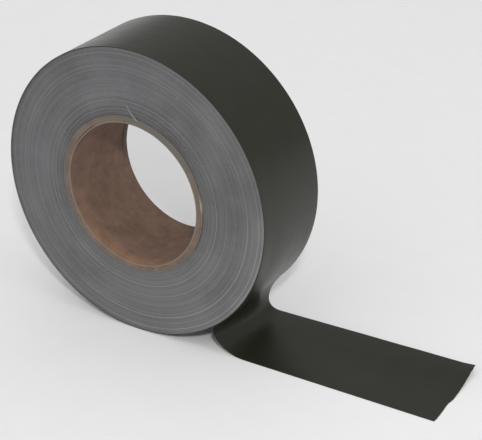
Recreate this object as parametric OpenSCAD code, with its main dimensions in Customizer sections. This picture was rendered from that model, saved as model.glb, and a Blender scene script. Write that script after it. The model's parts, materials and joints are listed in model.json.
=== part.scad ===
// Roll of cloth-backed duct tape on a paperboard core, with its free end peeled off
// and lying flat. The bore's centre is the origin, +Y runs along the roll's axis,
// +X the way the free end runs, and +Z is up.

/* [Roll] */
// Outside diameter of the full roll
roll_d = 153.8; // [140:0.1:170]
// Width of the tape
tape_w = 50; // [40:1:60]
// How far the ends of the turns stand in or out of line with each other
turn_wander = 0.12; // [0:0.01:0.3]
// Number of steps that the wandering ends of the turns make across the side face
wander_steps = 14; // [4:1:24]

/* [Tape layers] */
// Thickness of the polyethylene film on the outside
film_t = 0.07; // [0.05:0.01:0.12]
// Thickness of the woven cloth in the middle
scrim_t = 0.06; // [0.04:0.01:0.1]
// Thickness of the adhesive on the inside
adhesive_t = 0.13; // [0.08:0.01:0.2]

/* [Core] */
// Bore of the core
core_bore_d = 76.4; // [70:0.1:80]
// Thickness of each of the seven paperboard plies
ply_t = 0.53; // [0.4:0.01:0.6]
// How far the core stands out of the roll's front face
core_proud = 0.5; // [0:0.1:1.5]
// How far the core sits inside the roll's back face
core_recess = 1.8; // [0:0.1:3]

/* [Fold] */
// Angle below the horizontal at which the near edge leaves the roll
peel_near = 52; // [48:1:54]
// Angle below the horizontal at which the far edge leaves the roll
peel_far = 43.4; // [41:0.1:50]
// How far from the roll's centre the near edge comes to lie flat
foot_near = 63.3; // [58:0.1:68]
// How far from the roll's centre the far edge comes to lie flat
foot_far = 53.9; // [50:0.1:60]
// How far the near edge carries on along the roll before it turns
carry_near = 6; // [4:0.1:10]
// How far the far edge carries on along the roll before it turns
carry_far = 13.7; // [8:0.1:16]
// How far back the near edge begins to flatten
reach_near = 14.5; // [8:0.1:18]
// How far back the far edge begins to flatten
reach_far = 11.7; // [8:0.1:16]

/* [Tail] */
// Distance from the roll's centre to the first bending line
tail_x = 70; // [68:1:80]
// Length of each of the first two spans of the tail
span_l = 33; // [20:1:50]
// Length of the last span, along its near edge
last_span_l = 32; // [15:1:50]
// Sideways shift of the tail from the roll's own middle
tail_shift = 2; // [-3:0.5:3]
// How much shorter the far corner is than the near one
cut_slant = 4.5; // [0:0.5:8]
// Depth of the jog where the scissors bit twice
cut_jog = 1.2; // [0:0.1:2]

/* [Hidden] */
$fa = 3;
$fs = 0.5;

roll_r = roll_d / 2;
tape_t = film_t + scrim_t + adhesive_t;
core_bore_r = core_bore_d / 2;
core_plies = 7;
core_r = core_bore_r + core_plies * ply_t;
core_front_y = -tape_w / 2 - core_proud;
core_back_y = tape_w / 2 - core_recess;
// Running clearance under the outer turn, so that the roll can turn inside it
turn_gap = 0.05;
pack_r = roll_r - tape_t - turn_gap;
floor_z = -roll_r;
// Depths below the outer surface at which the layers begin and end
film_depth = [0, film_t];
scrim_depth = [film_t, film_t + scrim_t];
adhesive_depth = [film_t + scrim_t, tape_t];
// Angles below the horizontal at which the outer turn joins the fold and ends under it
join_a = 38;
tuck_a = 60;
// Places where the tail bends, and where it ends
tail_x2 = tail_x + span_l;
tail_x3 = tail_x2 + span_l;
tail_end_x = tail_x3 + last_span_l;
tail_y = tail_shift - tape_w / 2;
// Cells of the fold: on the roll, round the bend, and across the width
on_roll_cells = 6;
bend_cells = 18;
cross_cells = 8;
along_cells = on_roll_cells + bend_cells + 1;

function mix(a, b, f) = a + (b - a) * f;
function ease(f) = f * f * (3 - 2 * f);
function left_of(d) = [-d[1], d[0]];

// Core: seven plies wound on each other, the liner innermost
module ply(index) {
    inner_r = core_bore_r + index * ply_t;
    rotate([90, 0, 0])
        translate([0, 0, -core_back_y])
            difference() {
                cylinder(r = inner_r + ply_t, h = core_back_y - core_front_y);
                translate([0, 0, -1])
                    cylinder(r = inner_r, h = core_back_y - core_front_y + 2);
            }
}

module core_liner() { color("#7a6455") ply(0); }
module core_ply_1() { color("#6b5749") ply(1); }
module core_ply_2() { color("#735e50") ply(2); }
module core_ply_3() { color("#6b5749") ply(3); }
module core_ply_4() { color("#735e50") ply(4); }
module core_ply_5() { color("#6b5749") ply(5); }
module core_face() { color("#7a6455") ply(6); }

// Distance of the ends of the turns in one step from the middle of the roll
function step_end(index, side) = tape_w / 2 - turn_wander * (1 + sin(index * 137 + side * 61)) / 2;
function step_r(index) = mix(core_r, pack_r, index / wander_steps);

module wound_turns() {
    front = [for (i = [0 : wander_steps - 1], k = [0, 1]) [step_r(i + k), step_end(i, 0)]];
    back = [for (i = [wander_steps - 1 : -1 : 0], k = [1, 0]) [step_r(i + k), -step_end(i, 1)]];
    color("#6a6a6c")
        rotate([90, 0, 0])
            rotate_extrude()
                polygon(concat(front, back));
}

// The turn outside the wound ones, from under the fold round to the peeling line
module outer_turn(depth) {
    far_r = 2 * roll_r;
    rotate([90, 0, 0])
        linear_extrude(height = tape_w, center = true)
            difference() {
                circle(r = roll_r - depth[0]);
                circle(r = roll_r - depth[1]);
                polygon([
                    [0, 0],
                    far_r * [cos(join_a), -sin(join_a)],
                    far_r * [cos(tuck_a), -sin(tuck_a)]
                ]);
            }
}

module outer_turn_film() { color("#3c3d34") outer_turn(film_depth); }
module outer_turn_scrim() { color("#b9b7ae") outer_turn(scrim_depth); }
module outer_turn_adhesive() { color("#8f8d86") outer_turn(adhesive_depth); }

// Fold: it follows the roll to the peeling line, swings down and turns onto the floor.
// f runs from the near edge, 0, to the far edge, 1.
function peel_a(f) = mix(peel_near, peel_far, f);
function peel_point(f) = roll_r * [cos(peel_a(f)), -sin(peel_a(f))];
function peel_dir(f) = [-sin(peel_a(f)), -cos(peel_a(f))];
function bend_points(f) = [
    peel_point(f),
    peel_point(f) + mix(carry_near, carry_far, f) * peel_dir(f),
    [mix(foot_near, foot_far, f) - mix(reach_near, reach_far, f), floor_z + tape_t],
    [mix(foot_near, foot_far, f), floor_z + tape_t]
];
function bezier(p, t) =
    pow(1 - t, 3) * p[0] + 3 * pow(1 - t, 2) * t * p[1]
    + 3 * (1 - t) * t * t * p[2] + pow(t, 3) * p[3];
function bezier_dir(p, t) =
    let (d = pow(1 - t, 2) * (p[1] - p[0]) + 2 * (1 - t) * t * (p[2] - p[1]) + t * t * (p[3] - p[2]))
    d / norm(d);

// One point of the fold, at a depth below its outer surface
function on_roll_point(a, f, depth) =
    [(roll_r - depth) * cos(a), mix(-tape_w / 2, tape_w / 2, f), -(roll_r - depth) * sin(a)];
function bend_point(t, f, depth) =
    let (
        p = bezier(bend_points(f), t) - depth * left_of(bezier_dir(bend_points(f), t)),
        shift = tail_shift * ease(t)
    )
    [p[0], mix(-tape_w / 2, tape_w / 2, f) + shift, p[1]];
function fold_point(i, j, depth) =
    let (f = j / cross_cells, bend_i = i - on_roll_cells)
    i <= on_roll_cells ? on_roll_point(mix(join_a, peel_a(f), i / on_roll_cells), f, depth)
    : bend_i <= bend_cells ? bend_point(bend_i / bend_cells, f, depth)
    : [tail_x, mix(tail_y, tail_y + tape_w, f), floor_z + tape_t - depth];

// Two triangles over a four-cornered cell, its corners clockwise as seen from outside
function cell(a, b, c, d) = [[a, b, c], [a, c, d]];

module fold(depth) {
    row = cross_cells + 1;
    side = row * (along_cells + 1);
    last = along_cells * row;
    points = [
        for (d = depth, i = [0 : along_cells], j = [0 : cross_cells]) fold_point(i, j, d)
    ];
    starts = [for (i = [0 : along_cells - 1]) i * row];
    columns = [0 : cross_cells - 1];
    outer = [
        for (s = starts, j = columns)
            let (a = s + j)
            each cell(a, a + 1, a + row + 1, a + row)
    ];
    inner = [
        for (s = starts, j = columns)
            let (a = side + s + j)
            each cell(a, a + row, a + row + 1, a + 1)
    ];
    near_edge = [for (a = starts) each cell(a, a + row, a + row + side, a + side)];
    far_edge = [
        for (s = starts)
            let (a = s + cross_cells)
            each cell(a + row, a, a + side, a + row + side)
    ];
    roll_end = [for (a = columns) each cell(a + 1, a, a + side, a + side + 1)];
    tail_end = [
        for (j = columns)
            let (a = last + j)
            each cell(a, a + 1, a + side + 1, a + side)
    ];
    polyhedron(points, concat(outer, inner, near_edge, far_edge, roll_end, tail_end));
}

module fold_film() { color("#3c3d34") fold(film_depth); }
module fold_scrim() { color("#b9b7ae") fold(scrim_depth); }
module fold_adhesive() { color("#8f8d86") fold(adhesive_depth); }

// Tail: three spans, each bending up from the one before it
module tail_span(start_x, length, depth) {
    translate([start_x, tail_y, floor_z + tape_t - depth[1]])
        cube([length, tape_w, depth[1] - depth[0]]);
}

module last_span(depth) {
    translate([0, 0, floor_z + tape_t - depth[1]])
        linear_extrude(height = depth[1] - depth[0])
            polygon([
                [tail_x3, tail_y],
                [tail_end_x, tail_y],
                [tail_end_x - cut_jog, tail_y + tape_w * 0.32],
                [tail_end_x - cut_jog / 2, tail_y + tape_w * 0.52],
                [tail_end_x - cut_slant, tail_y + tape_w],
                [tail_x3, tail_y + tape_w]
            ]);
}

module tail_1_film() { color("#3c3d34") tail_span(tail_x, span_l, film_depth); }
module tail_1_scrim() { color("#b9b7ae") tail_span(tail_x, span_l, scrim_depth); }
module tail_1_adhesive() { color("#8f8d86") tail_span(tail_x, span_l, adhesive_depth); }
module tail_2_film() { color("#3c3d34") tail_span(tail_x2, span_l, film_depth); }
module tail_2_scrim() { color("#b9b7ae") tail_span(tail_x2, span_l, scrim_depth); }
module tail_2_adhesive() { color("#8f8d86") tail_span(tail_x2, span_l, adhesive_depth); }
module tail_3_film() { color("#3c3d34") last_span(film_depth); }
module tail_3_scrim() { color("#b9b7ae") last_span(scrim_depth); }
module tail_3_adhesive() { color("#8f8d86") last_span(adhesive_depth); }

core_liner();
core_ply_1();
core_ply_2();
core_ply_3();
core_ply_4();
core_ply_5();
core_face();
wound_turns();
outer_turn_film();
outer_turn_scrim();
outer_turn_adhesive();
fold_film();
fold_scrim();
fold_adhesive();
tail_1_film();
tail_1_scrim();
tail_1_adhesive();
tail_2_film();
tail_2_scrim();
tail_2_adhesive();
tail_3_film();
tail_3_scrim();
tail_3_adhesive();
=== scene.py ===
import json
import math

import bpy
import numpy as np
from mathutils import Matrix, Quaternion, Vector


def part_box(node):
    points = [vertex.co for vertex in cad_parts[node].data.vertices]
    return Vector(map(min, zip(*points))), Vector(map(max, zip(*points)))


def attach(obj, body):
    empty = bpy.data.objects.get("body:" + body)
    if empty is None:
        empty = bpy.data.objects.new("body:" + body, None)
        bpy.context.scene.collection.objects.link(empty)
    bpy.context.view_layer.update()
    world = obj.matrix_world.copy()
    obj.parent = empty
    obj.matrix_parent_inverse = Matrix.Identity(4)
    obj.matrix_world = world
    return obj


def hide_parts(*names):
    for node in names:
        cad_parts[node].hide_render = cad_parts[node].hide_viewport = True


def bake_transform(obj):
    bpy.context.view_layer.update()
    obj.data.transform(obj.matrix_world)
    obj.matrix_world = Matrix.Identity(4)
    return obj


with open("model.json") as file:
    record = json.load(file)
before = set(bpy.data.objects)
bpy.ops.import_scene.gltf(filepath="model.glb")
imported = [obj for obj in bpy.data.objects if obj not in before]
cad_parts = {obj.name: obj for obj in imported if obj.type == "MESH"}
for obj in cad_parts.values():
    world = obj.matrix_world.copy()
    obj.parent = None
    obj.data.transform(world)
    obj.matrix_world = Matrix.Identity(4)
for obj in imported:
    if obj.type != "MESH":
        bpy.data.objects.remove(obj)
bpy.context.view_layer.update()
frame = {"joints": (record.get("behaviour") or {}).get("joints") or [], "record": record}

# ---------------------------------------------------------------- sizes, from the frame
MM = 0.001
TURN_LOW, TURN_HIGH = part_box("outer_turn_film")
FILM_LOW, FILM_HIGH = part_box("tail_1_film")
SCRIM_LOW, SCRIM_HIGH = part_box("tail_1_scrim")
ROLL_R = -TURN_LOW.x
TAPE_W = TURN_HIGH.y - TURN_LOW.y
FLOOR_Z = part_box("tail_1_adhesive")[0].z
FILM_T = FILM_HIGH.z - FILM_LOW.z
SCRIM_T = SCRIM_HIGH.z - SCRIM_LOW.z
TAPE_T = FILM_HIGH.z - FLOOR_Z
TAIL_NEAR_Y = FILM_LOW.y
TAIL_SHIFT = TAIL_NEAR_Y + TAPE_W / 2
TAIL_END_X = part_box("tail_3_film")[1].x
HINGE_X = {j["name"]: j["pos_m"][0] for j in frame["joints"]}
BORE_R = next(m for m in frame["record"]["mounts"] if m["name"] == "core_bore")["dims"]["r_mm"] * MM
PLIES = ["core_liner", *(f"core_ply_{i}" for i in range(1, 6)), "core_face"]
PLY_R = [BORE_R] + [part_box(name)[1].x for name in PLIES]
CORE_FRONT_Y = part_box("core_liner")[0].y
CORE_BACK_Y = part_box("core_liner")[1].y
CORE_R = PLY_R[-1]

# The fold, as the CAD draws it: its near edge comes first and its far edge second
PEEL_ANGLE = (52, 43.4)
FOOT_X = (63.3 * MM, 53.9 * MM)
CARRY = (6 * MM, 13.7 * MM)
REACH = (14.5 * MM, 11.7 * MM)


def mix(a, b, f):
    return a + (b - a) * f


def smooth(f):
    f = np.clip(f, 0, 1)
    return f * f * (3 - 2 * f)


WANDER_COUNT = 4096
WANDER_START = 1000


def wander(x, seed):
    """A smooth random curve through values from -1 to 1, one for each whole x."""
    values = np.random.default_rng(seed).uniform(-1, 1, WANDER_COUNT)
    x = np.asarray(x, float) + WANDER_START
    i = np.floor(x).astype(int)
    return mix(values[i % WANDER_COUNT], values[(i + 1) % WANDER_COUNT], smooth(x - i))


# ---------------------------------------------------------------- materials
# Where the Mix node keeps its colour sockets
MIX_A, MIX_B, MIX_RESULT = 6, 7, 2


class Nodes:
    """Builds one material's node tree a node at a time."""

    def __init__(self, name):
        self.material = bpy.data.materials.new(name)
        self.material.use_nodes = True
        self.tree = self.material.node_tree
        self.shader = self.tree.nodes["Principled BSDF"]

    def node(self, kind, **inputs):
        """A new node, with its inputs and its own settings given by name."""
        made = self.tree.nodes.new(kind)
        for key, value in inputs.items():
            name = key.replace("_", " ")
            if name in made.inputs:
                self.put(made.inputs[name], value)
            else:
                setattr(made, key, value)
        return made

    def put(self, socket, value):
        """Links another node's output to a socket, or sets its value."""
        if isinstance(value, bpy.types.NodeSocket):
            self.tree.links.new(value, socket)
        else:
            socket.default_value = value

    def set(self, **values):
        for key, value in values.items():
            self.put(self.shader.inputs[key.replace("_", " ")], value)

    def attribute(self, name):
        """A number that the mesh carries at each of its points."""
        return self.node("ShaderNodeAttribute", attribute_name=name).outputs["Fac"]

    def place(self, scale=(1, 1, 1), uv=False):
        """Object coordinates, or the tape's own UVs in metres, scaled."""
        coords = self.node("ShaderNodeTexCoord")
        mapping = self.node("ShaderNodeMapping", Scale=scale)
        self.put(mapping.inputs["Vector"], coords.outputs["UV" if uv else "Object"])
        return mapping.outputs["Vector"]

    def noise(self, vector, scale, detail=4.0, roughness=0.55):
        made = self.node("ShaderNodeTexNoise", Scale=scale, Detail=detail, Roughness=roughness)
        self.put(made.inputs["Vector"], vector)
        return made.outputs["Fac"]

    def ramp(self, value, *stops):
        """A colour ramp through stops of (place, colour), in rising order."""
        made = self.node("ShaderNodeValToRGB")
        ramp = made.color_ramp
        for at, _ in stops[2:]:
            ramp.elements.new(at)
        for element, (at, colour) in zip(ramp.elements, stops):
            element.position = at
            element.color = (*colour, 1)
        self.put(made.inputs["Fac"], value)
        return made.outputs["Color"]

    def span(self, value, low, high, to_low, to_high):
        """A value from low to high, spread over to_low to to_high."""
        made = self.node("ShaderNodeMapRange", From_Min=low, From_Max=high, To_Min=to_low, To_Max=to_high)
        self.put(made.inputs["Value"], value)
        return made.outputs["Result"]

    def math(self, operation, a, b=0.0):
        made = self.node("ShaderNodeMath", operation=operation)
        self.put(made.inputs[0], a)
        self.put(made.inputs[1], b)
        return made.outputs["Value"]

    def blend(self, fac, a, b, kind="MIX"):
        made = self.node("ShaderNodeMix", data_type="RGBA", blend_type=kind)
        self.put(made.inputs["Factor"], fac)
        for socket, value in ((made.inputs[MIX_A], a), (made.inputs[MIX_B], b)):
            self.put(socket, (*value, 1) if isinstance(value, tuple) else value)
        return made.outputs[MIX_RESULT]

    def bump(self, height, strength, distance, below=None):
        made = self.node("ShaderNodeBump", Strength=strength, Distance=distance)
        self.put(made.inputs["Height"], height)
        if below is not None:
            self.put(made.inputs["Normal"], below)
        return made.outputs["Normal"]


def srgb(*levels):
    """A colour given as it looks on a screen, from 0 to 255, as the shader's linear one."""
    return tuple(((level / 255 + 0.055) / 1.055) ** 2.4 for level in levels)


# The woven cloth inside the tape
YARN_GAP = 1.3 * MM
PICK_GAP = 2.5 * MM


def weave(n, sharp):
    """Height of the woven cloth that shows through the tape: yarns along it and across it."""
    uv = n.place(uv=True)
    split = n.node("ShaderNodeSeparateXYZ")
    n.put(split.inputs["Vector"], uv)
    waver = n.math("MULTIPLY", n.noise(uv, 60.0, 2.0), 0.5)
    along = n.math("ADD", n.math("MULTIPLY", split.outputs["X"], 2 * math.pi / PICK_GAP), waver)
    across = n.math("ADD", n.math("MULTIPLY", split.outputs["Y"], 2 * math.pi / YARN_GAP), waver)
    ridges = [n.math("POWER", n.math("ABSOLUTE", n.math("SINE", n.math("MULTIPLY", a, 0.5))), sharp)
              for a in (along, across)]
    return n.math("MAXIMUM", *ridges)


def film_material():
    """Dark olive polyethylene: satin, with the cloth faintly printed through it."""
    n = Nodes("olive_film")
    uv = n.place(uv=True)
    cloud = n.noise(uv, 45.0, 3.0)
    bands = n.noise(n.place((3.0, 260.0, 1.0), uv=True), 1.0, 3.0)
    colour = n.blend(n.span(cloud, 0.35, 0.7, 0.0, 1.0), srgb(37, 38, 29), srgb(42, 43, 34))
    scuff = n.noise(n.place((900.0, 90.0, 1.0), uv=True), 1.0, 6.0, 0.7)
    colour = n.blend(n.span(scuff, 0.62, 0.8, 0.0, 0.25), colour, srgb(76, 76, 68))
    rough = n.math("ADD", n.span(bands, 0.3, 0.7, 0.3, 0.38), n.span(cloud, 0.3, 0.7, -0.02, 0.04))
    grain = n.noise(uv, 2600.0, 3.0, 0.6)
    normal = n.bump(grain, 0.05, 0.02 * MM)
    normal = n.bump(weave(n, 6.0), 0.1, 0.03 * MM, normal)
    normal = n.bump(n.noise(n.place((30.0, 90.0, 1.0), uv=True), 1.0, 2.0), 0.35, 0.25 * MM, normal)
    n.set(Base_Color=colour, Roughness=rough, Normal=normal, IOR=1.36)
    return n.material


def scrim_material():
    """The cut edge of the woven cloth."""
    n = Nodes("cloth_edge")
    yarns = n.noise(n.place(), 3500.0, 2.0)
    colour = n.ramp(yarns, (0.35, srgb(120, 118, 108)), (0.65, srgb(186, 182, 170)))
    n.set(Base_Color=colour, Roughness=0.9, Normal=n.bump(yarns, 0.5, 0.05 * MM))
    return n.material


def adhesive_material():
    """Grey rubber adhesive on the inside, with the cloth showing in it as a grid."""
    n = Nodes("grey_adhesive")
    grid = weave(n, 9.0)
    smear = n.noise(n.place(uv=True), 160.0, 5.0)
    colour = n.blend(n.span(smear, 0.3, 0.7, 0.0, 1.0), srgb(128, 126, 118), srgb(150, 148, 138))
    colour = n.blend(n.span(grid, 0.5, 1.0, 0.0, 0.55), colour, srgb(186, 182, 170))
    normal = n.bump(smear, 0.3, 0.06 * MM, n.bump(grid, 0.6, 0.08 * MM))
    n.set(Base_Color=colour, Roughness=n.span(smear, 0.3, 0.7, 0.35, 0.6), Normal=normal)
    return n.material


def side_material():
    """The side of the roll: edges of film, cloth and adhesive, turn on turn."""
    n = Nodes("wound_edges")
    cloud = n.noise(n.place(), 38.0, 3.0)
    patch = n.noise(n.place(), 22.0, 2.0)
    speck = n.noise(n.place(), 900.0, 5.0, 0.65)
    # The tone carries painted shade: the side face is darker towards its upper left
    grey = n.ramp(n.attribute("tone"), (0.0, srgb(44, 45, 41)), (0.2, srgb(78, 78, 76)),
                  (0.45, srgb(98, 98, 96)), (0.75, srgb(118, 119, 117)), (1.0, srgb(166, 165, 159)))
    grey = n.blend(n.span(patch, 0.45, 0.65, 0.0, 0.4), grey, srgb(108, 107, 118), "MULTIPLY")
    grey = n.blend(n.span(patch, 0.3, 0.5, 0.0, 0.6), n.blend(0.5, grey, srgb(104, 102, 112)), grey)
    grey = n.blend(n.span(cloud, 0.35, 0.65, 0.0, 0.16), grey, srgb(150, 150, 146))
    grey = n.blend(n.span(speck, 0.55, 0.75, 0.0, 0.35), grey, srgb(150, 148, 142))
    grey = n.blend(n.math("MULTIPLY", n.attribute("groove"), 0.55), grey, srgb(46, 46, 44))
    rough = n.span(speck, 0.3, 0.7, 0.55, 0.75)
    n.set(Base_Color=grey, Roughness=rough, Normal=n.bump(speck, 0.35, 0.06 * MM))
    return n.material


def paper_material(name, dark, light, fleck):
    """Kraft paperboard: mottled, with fibres and darker flecks. Its shader is left to the caller."""
    n = Nodes(name)
    place = n.place()
    mottle = n.noise(place, 130.0, 5.0, 0.65)
    fibre = n.noise(n.place((1.0, 2.5, 1.0)), 900.0, 5.0, 0.7)
    spots = n.noise(place, 420.0, 3.0, 0.5)
    colour = n.ramp(mottle, (0.32, dark), (0.68, light))
    colour = n.blend(n.span(fibre, 0.4, 0.75, 0.0, 0.35), colour, fleck)
    colour = n.blend(n.span(spots, 0.62, 0.75, 0.0, 0.4), colour, tuple(0.45 * c for c in dark))
    return n, colour, mottle, fibre


def liner_material():
    """The bore's own face: kraft brown, rubbed to a warmer orange along the lower front edge, where painted
    light also lightens it.
    """
    n, colour, mottle, fibre = paper_material("kraft_liner", dark=srgb(106, 85, 73), light=srgb(128, 105, 92),
                                              fleck=srgb(146, 123, 107))
    # Painted light as well as rubbing: a lighter, warmer patch along the lower front edge, fading towards the
    # back
    worn_and_painted_light = n.math("MULTIPLY", n.attribute("rub_and_painted_light"), n.span(mottle, 0.35, 0.65, 0.35, 1.0))
    colour = n.blend(worn_and_painted_light, colour, srgb(160, 122, 94))
    colour = n.blend(n.math("MULTIPLY", n.attribute("rim"), 0.7), colour, srgb(142, 126, 113))
    # Greyer rim in places, and a greyer strip of painted shade near the back end
    colour = n.blend(n.math("MULTIPLY", n.attribute("dust_and_shade"), 0.6), colour, srgb(106, 105, 102))
    # Painted shade: a dark line at the crushed place and a dark back edge
    colour = n.blend(n.math("MULTIPLY", n.attribute("painted_shade"), 0.92), colour, srgb(32, 31, 28))
    normal = n.bump(fibre, 0.35, 0.08 * MM, n.bump(mottle, 0.3, 0.25 * MM))
    n.set(Base_Color=colour, Roughness=0.85, Normal=normal, Specular_IOR_Level=0.2)
    return n.material


def ply_material():
    """The plies' cut edges at the rim: paler, greyed and torn in places, each ply its own tone."""
    n, colour, mottle, fibre = paper_material("kraft_ply", dark=srgb(104, 93, 85), light=srgb(124, 112, 102),
                                              fleck=srgb(142, 130, 119))
    colour = n.blend(n.math("MULTIPLY", n.attribute("ply"), 0.4), colour, srgb(100, 86, 77))
    # Greyed rim in places; the plies carry no painted shade
    colour = n.blend(n.math("MULTIPLY", n.attribute("dust_and_shade"), 0.8), colour, srgb(106, 104, 99))
    colour = n.blend(n.attribute("torn"), colour, srgb(166, 151, 134))
    normal = n.bump(fibre, 0.5, 0.12 * MM, n.bump(mottle, 0.4, 0.2 * MM))
    n.set(Base_Color=colour, Roughness=0.9, Normal=normal, Specular_IOR_Level=0.2)
    return n.material


def yarn_material():
    """Pale cotton yarn pulled out of the cloth."""
    n = Nodes("loose_yarn")
    twist = n.noise(n.place(), 5200.0, 3.0)
    colour = n.ramp(twist, (0.35, srgb(132, 128, 121)), (0.65, srgb(166, 162, 154)))
    n.set(Base_Color=colour, Roughness=0.85, Normal=n.bump(twist, 0.6, 0.04 * MM))
    return n.material


FILM = film_material()
SCRIM = scrim_material()
ADHESIVE = adhesive_material()
SIDE = side_material()
LINER = liner_material()
PLY = ply_material()
YARN = yarn_material()


# ---------------------------------------------------------------- mesh building
def crease(mesh, loops):
    """Marks the edges between neighbouring points of closed loops as sharp."""
    wanted = set()
    for loop in loops:
        for a, b in zip(loop, np.roll(loop, -1)):
            wanted.add((min(a, b), max(a, b)))
    pairs = np.empty(2 * len(mesh.edges), np.int32)
    mesh.edges.foreach_get("vertices", pairs)
    pairs = np.sort(pairs.reshape(-1, 2), axis=1)
    mesh.edges.foreach_set("use_edge_sharp", [(a, b) in wanted for a, b in pairs.tolist()])


def make_mesh(name, points, faces, materials, slots=None, floats=None, uvs=None, creases=()):
    """A smooth-shaded object, with numbers at its points and loops of points that stay sharp."""
    mesh = bpy.data.meshes.new(name)
    mesh.from_pydata([tuple(p) for p in points], [], faces)
    for material in materials:
        mesh.materials.append(material)
    if slots is not None:
        mesh.polygons.foreach_set("material_index", np.asarray(slots, np.int32))
    for key, values in (floats or {}).items():
        layer = mesh.attributes.new(key, "FLOAT", "POINT")
        layer.data.foreach_set("value", np.asarray(values, np.float32))
    if uvs is not None:
        corners = np.empty(len(mesh.loops), np.int32)
        mesh.loops.foreach_get("vertex_index", corners)
        layer = mesh.uv_layers.new(name="along_and_across")
        layer.data.foreach_set("uv", np.asarray(uvs, np.float32)[corners].ravel())
    mesh.polygons.foreach_set("use_smooth", np.ones(len(mesh.polygons), bool))
    if creases:
        crease(mesh, creases)
    piece = bpy.data.objects.new(name, mesh)
    bpy.context.scene.collection.objects.link(piece)
    return piece


def grid_faces(rows, columns, start=0, flip=False):
    """Quads over rows x columns points numbered row by row."""
    a = (np.arange(rows - 1)[:, None] * columns + np.arange(columns - 1) + start).ravel()
    quads = np.stack([a, a + columns, a + columns + 1, a + 1], 1)
    return (quads[:, ::-1] if flip else quads).tolist()


# ---------------------------------------------------------------- the strip of tape
WIDE = 33
# Where the outermost turn begins, and from where its cells slant with the fold, in degrees below +X
WRAP_START, JOIN = 30, 360 + 38
WRAP_CELLS, ON_ROLL_CELLS, BEND_CELLS = 300, 14, 46
PEEL_LINE = 360 + sum(PEEL_ANGLE) / 2
WRAP_END_X = 64 * MM
STATION = 0.9 * MM
TURN_GAP = 0.008 * MM


def across(near_far, f):
    """The value at a place across the tape, from 0 at the near edge to 1 at the far one."""
    return mix(near_far[0], near_far[1], f)


def wrap_radius(angle):
    """Outer radius of the spiral: a thickness and a hair less for each turn back from the peeling line."""
    return ROLL_R - (TAPE_T + TURN_GAP) * np.clip(PEEL_LINE - angle, 0, 720) / 360


def on_roll(angle, f):
    """Points on the roll's surface."""
    r = wrap_radius(angle)
    a = np.radians(angle)
    return np.stack([r * np.cos(a), mix(-TAPE_W / 2, TAPE_W / 2, f), -r * np.sin(a)], -1)


def round_bend(t, f):
    """The fold: a cubic curve from the peeling line to where the tape lies flat, for each place across."""
    a = np.radians(across(PEEL_ANGLE, f))
    top = FLOOR_Z + TAPE_T
    zero = np.zeros_like(f)
    start = np.stack([ROLL_R * np.cos(a), zero, -ROLL_R * np.sin(a)], -1)
    away = np.stack([-np.sin(a), zero, -np.cos(a)], -1)
    foot = np.stack([across(FOOT_X, f), zero, zero + top], -1)
    before = foot - np.stack([across(REACH, f), zero, zero], -1)
    carried = start + across(CARRY, f)[:, None] * away
    p = (1 - t) ** 3 * start + 3 * (1 - t) ** 2 * t * carried
    p += 3 * (1 - t) * t * t * before + t ** 3 * foot
    p[:, 1] = mix(-TAPE_W / 2, TAPE_W / 2, f) + TAIL_SHIFT * smooth(t)
    return p


# Lift of the far edge at the fold and at the cut, and how much more the far corner turns up
FAR_LIFT = (0.7 * MM, 2.45 * MM)
CORNER_FLICK = 0.7 * MM
RIPPLE, RIPPLE_STEP = 0.06 * MM, 17 * MM
RIPPLE_FROM, RIPPLE_FADE = 66 * MM, 20 * MM


def lift(x, f):
    """How far the tail stands off the surface: its far edge curls up more towards the cut."""
    along = (x - FOOT_X[1]) / (TAIL_END_X - FOOT_X[1])
    far = across(FAR_LIFT, along) * smooth((f - 0.3) / 0.7) ** 1.5
    flick = CORNER_FLICK * smooth((along - 0.9) / 0.1) * smooth((f - 0.7) / 0.3)
    ripple = RIPPLE * (wander(x / RIPPLE_STEP, 3) + 1) * smooth((x - RIPPLE_FROM) / RIPPLE_FADE)
    return far + flick + ripple * (0.3 + 0.7 * f)


def cut_x(f):
    """The scissor cut: it slants back towards the far edge, with a small step where the second bite began."""
    slant = 0.7 * MM + 2.6 * MM * f ** 2.2
    bite = 0.7 * MM * np.clip((f - 0.12) / 0.2, 0, 1) * np.clip((0.4 - f) / 0.06, 0, 1)
    nick = 0.1 * MM * wander(f * 30, 11)
    return TAIL_END_X - slant - bite - nick


def tape_points():
    """Outer surface of the whole strip, station by station, and the station where each piece begins."""
    f = np.linspace(0, 1, WIDE)
    rows = []
    for angle in np.linspace(WRAP_START, JOIN, WRAP_CELLS + 1):
        rows.append(on_roll(np.full(WIDE, angle), f))
    for i in range(1, ON_ROLL_CELLS + 1):
        rows.append(on_roll(mix(JOIN, 360 + across(PEEL_ANGLE, f), i / ON_ROLL_CELLS), f))
    for i in range(1, BEND_CELLS + 1):
        p = round_bend(i / BEND_CELLS, f)
        p[:, 2] += lift(p[:, 0], f) * smooth((i / BEND_CELLS - 0.45) / 0.55)
        rows.append(p)
    first_split = mix(HINGE_X["tail_lift"], HINGE_X["tail_bend"], 0.5)
    second_split = mix(HINGE_X["tail_bend"], HINGE_X["tail_curl"], 0.5)
    splits = [np.full(WIDE, x) for x in (WRAP_END_X, first_split, second_split)]
    starts = []
    y = mix(TAIL_NEAR_Y, TAIL_NEAR_Y + TAPE_W, f)
    begin = across(FOOT_X, f)
    for end in [*splits, cut_x(f)]:
        cells = max(2, round(float(np.mean(end - begin)) / STATION))
        for i in range(1, cells + 1):
            x = mix(begin, end, i / cells)
            rows.append(np.stack([x, y, FLOOR_Z + TAPE_T + lift(x, f)], -1))
        starts.append(len(rows) - 1)
        begin = end
    return np.array(rows), starts[:-1]


def grid_normals(p):
    """Outward normals of a grid of points."""
    along = np.gradient(p, axis=0)
    wide = np.gradient(p, axis=1)
    n = np.cross(along, wide)
    return n / np.linalg.norm(n, axis=2, keepdims=True)


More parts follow.
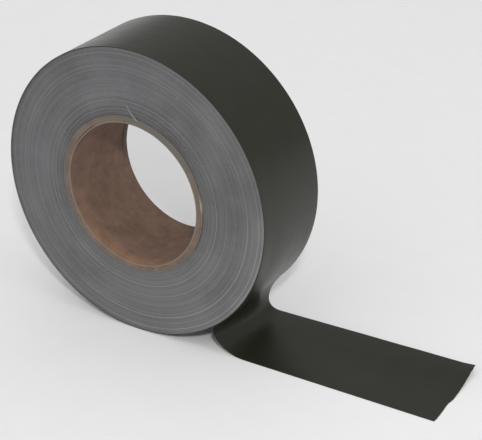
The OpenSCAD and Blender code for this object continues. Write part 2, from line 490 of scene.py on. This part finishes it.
def grid_rim(rows, columns):
    """Rows and columns of the points round the border of a grid."""
    rim = [(i, 0) for i in range(rows)]
    rim += [(rows - 1, j) for j in range(1, columns)]
    rim += [(i, columns - 1) for i in range(rows - 2, -1, -1)]
    rim += [(0, j) for j in range(columns - 2, 0, -1)]
    return np.array(rim).T


def laminate(name, p, n, u):
    """A closed strip of tape from its outer surface: film on it, adhesive under it, layers at its cut."""
    rows, columns = p.shape[:2]
    v = np.linspace(0, TAPE_W, columns)
    uv = np.stack(np.broadcast_arrays(u[:, None], v[None]), -1)
    i, j = grid_rim(rows, columns)
    film_foot, cloth_foot = p[i, j] - FILM_T * n[i, j], p[i, j] - (FILM_T + SCRIM_T) * n[i, j]
    points = np.concatenate([p.reshape(-1, 3), (p - TAPE_T * n).reshape(-1, 3), film_foot, cloth_foot])
    uvs = np.concatenate([uv.reshape(-1, 2), uv.reshape(-1, 2), uv[i, j], uv[i, j]])
    count, border = rows * columns, np.arange(len(i))
    top = i * columns + j
    loops = [top, 2 * count + border, 2 * count + len(i) + border, top + count]
    faces = grid_faces(rows, columns) + grid_faces(rows, columns, count, flip=True)
    slots = [0] * ((rows - 1) * (columns - 1)) + [2] * ((rows - 1) * (columns - 1))
    turn = np.roll(border, -1)
    for level, (upper, lower) in enumerate(zip(loops, loops[1:])):
        faces += np.stack([upper, lower, lower[turn], upper[turn]], 1).tolist()
        slots += [level if at_cut else 0 for at_cut in (i == rows - 1)]
    materials = [FILM, SCRIM, ADHESIVE]
    return make_mesh(name, points, faces, materials, slots, uvs=uvs, creases=(loops[0], loops[3]))


def tape_pieces():
    """The outermost turn with the fold, and the free end in stretches split midway between its hinges."""
    p, starts = tape_points()
    n = grid_normals(p)
    steps = np.linalg.norm(np.diff(p, axis=0), axis=2).mean(1)
    u = np.concatenate([[0], np.cumsum(steps)])
    ends = [0, *starts, len(p) - 1]
    names = ["outer_turn_and_fold", "tail_first_stretch", "tail_second_stretch", "tail_cut_end"]
    made = []
    for name, a, b in zip(names, ends, ends[1:]):
        piece = laminate(name, p[a:b + 1], n[a:b + 1], u[a:b + 1])
        piece["flat_length"] = float(u[b] - u[a])
        made.append(piece)
    return made


LAYERS = ("film", "scrim", "adhesive")
wrap, tail_a, tail_b, tail_c = tape_pieces()
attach(wrap, "outer_tape")
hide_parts(*(f"{part}_{layer}" for part in ("outer_turn", "fold") for layer in LAYERS))
for piece, joint, bodies, part in (
        (tail_a, "tail_lift", ("outer_tape", "tail_near"), "tail_1"),
        (tail_b, "tail_bend", ("tail_near", "tail_middle"), "tail_2"),
        (tail_c, "tail_curl", ("tail_middle", "tail_end"), "tail_3")):
    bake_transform(piece)
    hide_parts(*(f"{part}_{layer}" for layer in LAYERS))

# ---------------------------------------------------------------- the wound turns
TURNS = 132
ROUND = 120
PACK_START_ANGLE = math.radians(WRAP_START)
# The last turn thins out to nearly nothing, so the roll is round and turns freely in its outermost turn
PACK_R = wrap_radius(WRAP_START) - TAPE_T - 0.012 * MM
PITCH = (PACK_R - 0.03 * MM - CORE_R) / TURNS
GROOVE = 0.06 * MM
# Turns that stand out as pale lines, counted from the core, and how pale each is
PALE_TURNS = {7: 0.3, 13: 0.5, 20: 0.3, 30: 0.9, 42: 0.3, 52: 0.5, 66: 0.35,
              71: 0.45, 84: 0.25, 90: 0.4, 97: 0.45, 109: 0.3, 121: 0.45}
# The palest edge, and the middle of the painted shade on the side face, as angles above +X seen from the
# front
PALE_EDGE_AT, SHADED_FACE_AT = math.radians(25), math.radians(112)


def end_offset(total, seed):
    """How far the tape's edge stands out from the middle plane's half width, along the wound strip."""
    slow = wander(total / 9.0, seed)
    turn = wander(total / 0.8, seed + 1)
    return -0.05 * MM * (1 + slow) - 0.02 * MM * (1 + turn)


def pale_lines(total):
    """Paleness added by the turns that stand out, coming and going round the roll."""
    sum_of = np.zeros_like(total)
    for turn, pale in PALE_TURNS.items():
        near_turn = smooth(1.2 - np.abs(total - turn) / 0.9)
        sum_of += pale * near_turn * (0.6 + 0.4 * wander(total * 3.0, 100 + turn))
    return sum_of


def turn_tone(total):
    """Paleness of the edge along the wound strip, from 0 to 1, with painted shade darkening one side of the
    face.
    """
    share = total / TURNS
    up = 2 * math.pi * (1 - total % 1) - PACK_START_ANGLE
    tone = 0.45 + 0.08 * wander(total / 3.5, 21) + 0.14 * wander(total / 0.9, 22) + pale_lines(total)
    tone -= 0.16 * smooth((0.2 - share) / 0.12)
    # Painted shade: darker towards the upper left, lighter towards the lower right, and the outer turns
    # lighter except on the shaded side
    shaded_side = np.cos(up - SHADED_FACE_AT)
    tone -= 0.03 + 0.12 * shaded_side
    tone += 0.16 * smooth((share - 0.78) / 0.15) * smooth(0.4 - 0.8 * shaded_side)
    pale_side = smooth(0.5 + 0.9 * np.cos(up - PALE_EDGE_AT))
    tone += 0.3 * pale_side * smooth((share - 0.95) / 0.03) * (0.7 + 0.3 * wander(total * 9.0, 31))
    tone -= 0.35 * (1 - pale_side) * smooth((share - 0.965) / 0.015)
    return np.clip(tone, 0, 1)


def wound_turns():
    """Every turn's edge on both sides, as one spiral strip with a groove between neighbours."""
    steps = TURNS * ROUND
    total = np.arange(steps + ROUND + 1) / ROUND
    angle = 2 * math.pi * total + PACK_START_ANGLE
    points, tones, grooves, faces = [], [], [], []
    crowns = steps + ROUND + 1
    per_side = crowns + 2 * (steps + 1)
    inner = np.arange(steps + 1)
    columns = np.stack([inner, crowns + inner, crowns + steps + 1 + inner, inner + ROUND], 1)
    for side, seed in ((-1, 41), (1, 51)):
        proud = end_offset(total, seed) + 0.05 * MM * pale_lines(total)
        valley = 0.5 * (proud + end_offset(total - 1, seed)) - GROOVE
        tone = turn_tone(np.minimum(total, TURNS))
        for share, rise, count, groove in ((0, valley, crowns, 1.0), (0.22, proud, steps + 1, 0.0),
                                           (0.78, proud, steps + 1, 0.0)):
            start = CORE_R + PITCH * total[:count]
            r = np.minimum(start, PACK_R) + share * np.clip(PACK_R - start, 0, PITCH)
            y = side * (TAPE_W / 2 + rise[:count])
            points.append(np.stack([r * np.cos(angle[:count]), y, -r * np.sin(angle[:count])], -1))
            tones.append(tone[:count])
            grooves.append(np.full(count, groove))
        quads = np.stack([columns[:-1, :-1], columns[1:, :-1], columns[1:, 1:], columns[:-1, 1:]], -1)
        quads = quads.reshape(-1, 4) + (per_side if side > 0 else 0)
        faces += (quads[:, ::-1] if side > 0 else quads).tolist()
    # The wall under the first turn, the one over the last, and the strip's two cut ends
    first, last = np.arange(ROUND + 1), np.arange(steps, steps + ROUND + 1)
    for line, flip in ((first, False), (last, True), (columns[0], True), (columns[-1], False)):
        quads = np.stack([line[:-1], line[:-1] + per_side, line[1:] + per_side, line[1:]], 1)
        faces += (quads[:, ::-1] if flip else quads).tolist()
    return make_mesh("wound_turns_spiral", np.concatenate(points), faces, [SIDE],
                     floats={"tone": np.concatenate(tones), "groove": np.concatenate(grooves)})


pack = wound_turns()
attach(pack, "roll")
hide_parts("wound_turns")

# ---------------------------------------------------------------- the core
# How far along the axis a ply's seam goes in one turn, and where the seams begin
LEAD = 112 * MM
FIRST_SEAM, SEAM_STEP = 20, 137
COLUMNS = 180
SEAM_HALF = 0.35 * MM
SEAM_DEPTH = 0.14 * MM
EDGE_CUT = 0.1 * MM
PLY_GAP = 0.012 * MM
UNEVEN_REACH = 6 * MM
# Places of wear, of painted shade and of painted light: degrees above +X of their middle, as seen from the
# front, and half their arc
LIFTED_AT, LIFTED_HALF, LIFTED_BY = 136, 26, 0.38 * MM
PLY_END_AT, PLY_END_HALF, PLY_END_BY = 6, 9, 0.6 * MM
# Where the bore is rubbed and has painted light, near its lower front edge
RUB_AND_LIGHT_AT, RUB_AND_LIGHT_HALF = 262, 80
RUB_AND_LIGHT_FROM, RUB_AND_LIGHT_REACH = 0.5 * MM, 11 * MM
# The crushed line is dented and darkened with painted shade; a greyer strip of painted shade lies beyond it,
# and painted shade darkens the back edge
CRUSHED_AT, CRUSHED_HALF = 147, 45
CRUSH_FROM_BACK, CRUSH_HALF, CRUSH_DEPTH = 3.6 * MM, 1.2 * MM, 0.22 * MM
BACK_SHADE_AT, BACK_SHADE_HALF = 170, 80
DARK_EDGE, SHADED_STRIP_FADE = 0.9 * MM, 0.8 * MM
GREYED_AT, GREYED_HALF = 58, 75


def bump_at(angle, at, half):
    """1 at the middle angle, falling smoothly to 0 at a half-width on each side of it."""
    return smooth((half - np.abs((angle - at + 180) % 360 - 180)) / half)


def ply_rows(liner):
    """Places along a ply where it has points, closer together where the liner is crushed."""
    if not liner:
        return np.linspace(CORE_FRONT_Y, CORE_BACK_Y, 3)
    even = np.linspace(CORE_FRONT_Y, CORE_BACK_Y, 41)
    return np.union1d(even, CORE_BACK_Y - np.linspace(0.4, 5.2, 13) * MM)


def ply_columns(index):
    """Angles round a ply, three close together at its butt seam, and how deep the seam is at each."""
    seam = SEAM_HALF / PLY_R[index]
    angles = np.linspace(2 * seam, 2 * math.pi - 2 * seam, COLUMNS)
    angles = np.concatenate([[-seam, 0, seam], angles])
    depth = np.zeros(len(angles))
    depth[1] = SEAM_DEPTH
    return angles, depth


def front_angle(angle):
    """Degrees above +X, as seen from the front, of an angle round the core."""
    return (360 - np.degrees(angle)) % 360


class Ply:
    """One spirally wound ply: a tube with unevenly sawn ends. The liner also shows its seam, its rubbed,
    lifted and crushed places, and painted light and shade.
    """

    def __init__(self, index):
        self.index = index
        self.liner = index == 0
        self.face = index == len(PLIES) - 1
        self.inner, self.outer = PLY_R[index] + PLY_GAP, PLY_R[index + 1] - PLY_GAP
        self.y = ply_rows(self.liner)[:, None]
        columns, self.seam = ply_columns(index)
        lean = 2 * math.pi / LEAD if self.liner else 0
        seam_at = math.radians(index * SEAM_STEP + FIRST_SEAM)
        self.angle = seam_at + columns[None] + (self.y - CORE_FRONT_Y) * lean
        self.up = front_angle(self.angle)
        self.at_front = smooth(1 - (self.y - CORE_FRONT_Y) / UNEVEN_REACH)
        self.at_back = smooth(1 - (CORE_BACK_Y - self.y) / UNEVEN_REACH)

    def sawn(self):
        """Where the points lie along the axis: both ends a little uneven, the outermost ply torn short."""
        uneven = 0.05 * MM * wander(self.up / 11, 60 + self.index)
        uneven += 0.03 * MM * wander(self.up / 2.3, 80 + self.index)
        torn = PLY_END_BY * bump_at(self.up, PLY_END_AT, PLY_END_HALF) * self.face
        return self.y + uneven * (self.at_front + self.at_back) - torn * self.at_front

    def back_crush_and_shade(self):
        """Near the liner's back end, from 0 to 1: the crushed line, which is dented and darkened with painted
        shade, the greyer strip of painted shade beyond it, and the dark edge of painted shade.
        """
        from_back = CORE_BACK_Y - self.y
        crushed = np.sqrt(bump_at(self.up, CRUSHED_AT, CRUSHED_HALF)) * self.liner
        back_shade = np.sqrt(bump_at(self.up, BACK_SHADE_AT, BACK_SHADE_HALF)) * self.liner
        line = smooth(1 - np.abs(from_back - CRUSH_FROM_BACK) / CRUSH_HALF) * crushed
        shaded_strip = smooth((CRUSH_FROM_BACK - from_back) / SHADED_STRIP_FADE) * crushed
        return line, shaded_strip, smooth(1 - from_back / DARK_EDGE) * back_shade

    def outline(self, line):
        """The ply cut along its axis, as a closed loop of radius, place along the axis and angle."""
        y, angle, rows = self.sawn(), self.angle, range(1, len(self.y) - 1)
        pull = LIFTED_BY * bump_at(self.up, LIFTED_AT, LIFTED_HALF) * self.at_front * self.liner
        dent = np.maximum(self.seam * self.liner, CRUSH_DEPTH * line)
        end = ((self.inner, EDGE_CUT), (self.inner + EDGE_CUT, 0),
               (self.outer - EDGE_CUT, 0), (self.outer, EDGE_CUT))
        loop = [(r - pull[0], y[0] + cut, angle[0]) for r, cut in end]
        loop += [(self.outer - pull[i], y[i], angle[i]) for i in rows]
        loop += [(r - pull[-1], y[-1] - cut, angle[-1]) for r, cut in reversed(end)]
        loop += [(self.inner - pull[i] + dent[i], y[i], angle[i]) for i in reversed(rows)]
        return [np.array(values) for values in zip(*loop)]

    def marks_and_painted_light(self, y, angle):
        """What the materials are told of each point, from 0 to 1."""
        up, bore = front_angle(angle), len(self.y) - 2
        line, shaded_strip, dark_edge = self.back_crush_and_shade()
        rub_and_painted_light, rim, painted_shade, dust_and_shade = (np.zeros(up.shape) for _ in range(4))
        # Rub and painted light near the front, round the lower edge
        in_front = smooth(1 - (y - CORE_FRONT_Y - RUB_AND_LIGHT_FROM) / RUB_AND_LIGHT_REACH)
        rub_and_painted_light[-bore:] = (in_front * bump_at(up, RUB_AND_LIGHT_AT, RUB_AND_LIGHT_HALF))[-bore:]
        rim[:4] = 1.0
        # Painted shade near the back end: the crushed line and the dark edge, then the greyer strip beyond
        # the line
        painted_shade[-bore - 1:] = np.maximum(line, dark_edge)[:0:-1]
        dust_and_shade[-bore - 1:] = shaded_strip[:0:-1]
        dust_and_shade[:4] = bump_at(up[:4], GREYED_AT, GREYED_HALF)
        torn = rim * bump_at(up, PLY_END_AT, PLY_END_HALF) * self.face
        tone = np.full(up.shape, (self.index * 0.37) % 1)
        floats = {"rub_and_painted_light": rub_and_painted_light, "rim": rim, "ply": tone, "painted_shade": painted_shade, "torn": torn, "dust_and_shade": dust_and_shade}
        return {key: values.ravel() for key, values in floats.items()}

    def make(self):
        """The mesh: quads round every row of the outline, closed on itself both ways."""
        r, y, angle = self.outline(self.back_crush_and_shade()[0])
        points = np.stack([r * np.cos(angle), y, -r * np.sin(angle)], -1)
        number = np.arange(angle.size).reshape(angle.shape)
        down, right = np.roll(number, -1, 0), np.roll(number, -1, 1)
        faces = np.stack([number, right, np.roll(down, -1, 1), down], -1).reshape(-1, 4).tolist()
        material = LINER if self.liner else PLY
        return make_mesh(PLIES[self.index] + "_paper", points.reshape(-1, 3), faces, [material],
                         floats=self.marks_and_painted_light(y, angle), creases=(number[0], number[3]))


for index, node in enumerate(PLIES):
    paper = Ply(index).make()
    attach(paper, "roll")
    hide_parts(node)

# ---------------------------------------------------------------- a loose yarn at the core's top
YARN_R = 0.3 * MM
YARN_PATH = np.array([(0.1, -25.6, 48.2), (1.7, -26.0, 45.9), (3.5, -26.1, 43.7),
                      (4.7, -26.0, 42.3), (5.6, -25.2, 41.0)]) * MM


def tube(name, path, radius, material, sides=10, steps=40):
    """A round yarn along a smooth curve through the path's points, thinning towards its first one."""
    at = np.linspace(0, len(path) - 1, steps)
    i = np.clip(at.astype(int), 0, len(path) - 2)
    padded = np.vstack([2 * path[0] - path[1], path, 2 * path[-1] - path[-2]])
    t = (at - i)[:, None]
    a, b, c, d = (padded[i + k] for k in range(4))
    line = 2 * b + (c - a) * t + (2 * a - 5 * b + 4 * c - d) * t ** 2 + (3 * b - a - 3 * c + d) * t ** 3
    line *= 0.5
    along = np.gradient(line, axis=0)
    along /= np.linalg.norm(along, axis=1, keepdims=True)
    side = np.cross(along, (0.2, 1.0, 0.1))
    side /= np.linalg.norm(side, axis=1, keepdims=True)
    other = np.cross(along, side)
    turn = np.linspace(0, 2 * math.pi, sides, endpoint=False)
    fat = radius * mix(0.4, 1.0, smooth(at / at[-1])) * (1 + 0.15 * wander(at * 7, 5))
    ring = np.cos(turn)[None, :, None] * side[:, None] + np.sin(turn)[None, :, None] * other[:, None]
    points = (line[:, None] + fat[:, None, None] * ring).reshape(-1, 3)
    number = np.arange(steps * sides).reshape(steps, sides)
    right = np.roll(number, -1, 1)
    faces = np.stack([number[:-1], right[:-1], right[1:], number[1:]], -1).reshape(-1, 4).tolist()
    faces += [number[0, ::-1].tolist(), number[-1].tolist()]
    return make_mesh(name, points, faces, [material])


yarn = tube("loose_scrim_yarn", YARN_PATH, YARN_R, YARN)
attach(yarn, "roll")


# ---------------------------------------------------------------- floor, light and camera
def floor():
    """A plain pale floor."""
    n = Nodes("pale_floor")
    grain = n.span(n.noise(n.place(), 60.0, 4.0), 0.3, 0.7, 0.0, 1.0)
    n.set(Base_Color=n.blend(grain, (0.94, 0.94, 0.94), (0.955, 0.955, 0.955)), Roughness=0.9)
    half = 8.0
    corners = [(-half, -half, FLOOR_Z), (half, -half, FLOOR_Z), (half, half, FLOOR_Z), (-half, half, FLOOR_Z)]
    plane = make_mesh("floor", corners, [(0, 1, 2, 3)], [n.material])


def towards(azimuth, elevation):
    """The direction that lies so many degrees round from the front, and up."""
    a, e = math.radians(azimuth), math.radians(elevation)
    return Vector((math.sin(a) * math.cos(e), -math.cos(a) * math.cos(e), math.sin(e)))


def panel(name, place, aim, size, radiance, seen_in_gloss=True):
    """A rectangular light that faces a point. One that gloss doesn't see leaves no hot spot."""
    data = bpy.data.lights.new(name, "AREA")
    data.shape = "RECTANGLE"
    data.size, data.size_y = size
    data.energy = radiance * math.pi * size[0] * size[1]
    lamp = bpy.data.objects.new(name, data)
    lamp.location = place
    lamp.rotation_mode = "QUATERNION"
    lamp.rotation_quaternion = (Vector(aim) - Vector(place)).to_track_quat("-Z", "Y")
    lamp.visible_glossy = seen_in_gloss
    bpy.context.scene.collection.objects.link(lamp)


FRONT_SKY, BACK_SKY = 0.78, 0.42


def sky():
    """Soft light all round, brighter from the camera's side of the room than from behind the roll."""
    world = bpy.data.worlds.new("studio")
    world.use_nodes = True
    nodes, links = world.node_tree.nodes, world.node_tree.links
    direction = nodes.new("ShaderNodeTexCoord")
    split = nodes.new("ShaderNodeSeparateXYZ")
    fade = nodes.new("ShaderNodeMapRange")
    fade.interpolation_type = "SMOOTHSTEP"
    for name, number in (("From Min", -0.3), ("From Max", 0.6), ("To Min", FRONT_SKY), ("To Max", BACK_SKY)):
        fade.inputs[name].default_value = number
    links.new(direction.outputs["Generated"], split.inputs["Vector"])
    links.new(split.outputs["Y"], fade.inputs["Value"])
    background = nodes["Background"]
    background.inputs["Color"].default_value = (1, 1, 1, 1)
    links.new(fade.outputs["Result"], background.inputs["Strength"])
    bpy.context.scene.world = world


def studio():
    """A key light from near the camera, a weak fill from behind, and two panels that the film reflects."""
    sky()
    middle = (0, 0, 0)
    panel("key", towards(38.5, 36) * 1.6, aim=middle, size=(0.1, 0.1), radiance=290.0, seen_in_gloss=False)
    panel("fill", towards(205, 42) * 1.8, aim=middle, size=(1.2, 1.2), radiance=0.4, seen_in_gloss=False)
    panel("back_left", (-0.85, 0.85, 0.05), aim=(0, 0, 0.05), size=(0.8, 0.45), radiance=0.52)
    panel("upper_back", (0, 1.05, 0.95), aim=middle, size=(1.8, 0.6), radiance=0.12)


CAMERA_AZIMUTH, CAMERA_ELEVATION, CAMERA_ROLL = 36.12, 25.36, -1.2
CAMERA_DISTANCE = 820.6 * MM
CAMERA_AIM = (38.7 * MM, 13.5 * MM, -20.8 * MM)
LENS, SENSOR = 121.3, 36.0


def camera():
    """The photograph's viewing angle."""
    data = bpy.data.cameras.new("camera")
    data.lens, data.sensor_width = LENS, SENSOR
    cam = bpy.data.objects.new("camera", data)
    cam.location = towards(CAMERA_AZIMUTH, CAMERA_ELEVATION) * CAMERA_DISTANCE
    cam.rotation_mode = "QUATERNION"
    aim = Vector(CAMERA_AIM) - cam.location
    cam.rotation_quaternion = aim.to_track_quat("-Z", "Y") @ Quaternion((0, 0, 1), math.radians(CAMERA_ROLL))
    bpy.context.scene.collection.objects.link(cam)
    bpy.context.scene.camera = cam


floor()
studio()
camera()
bpy.context.scene.view_settings.view_transform = "Standard"
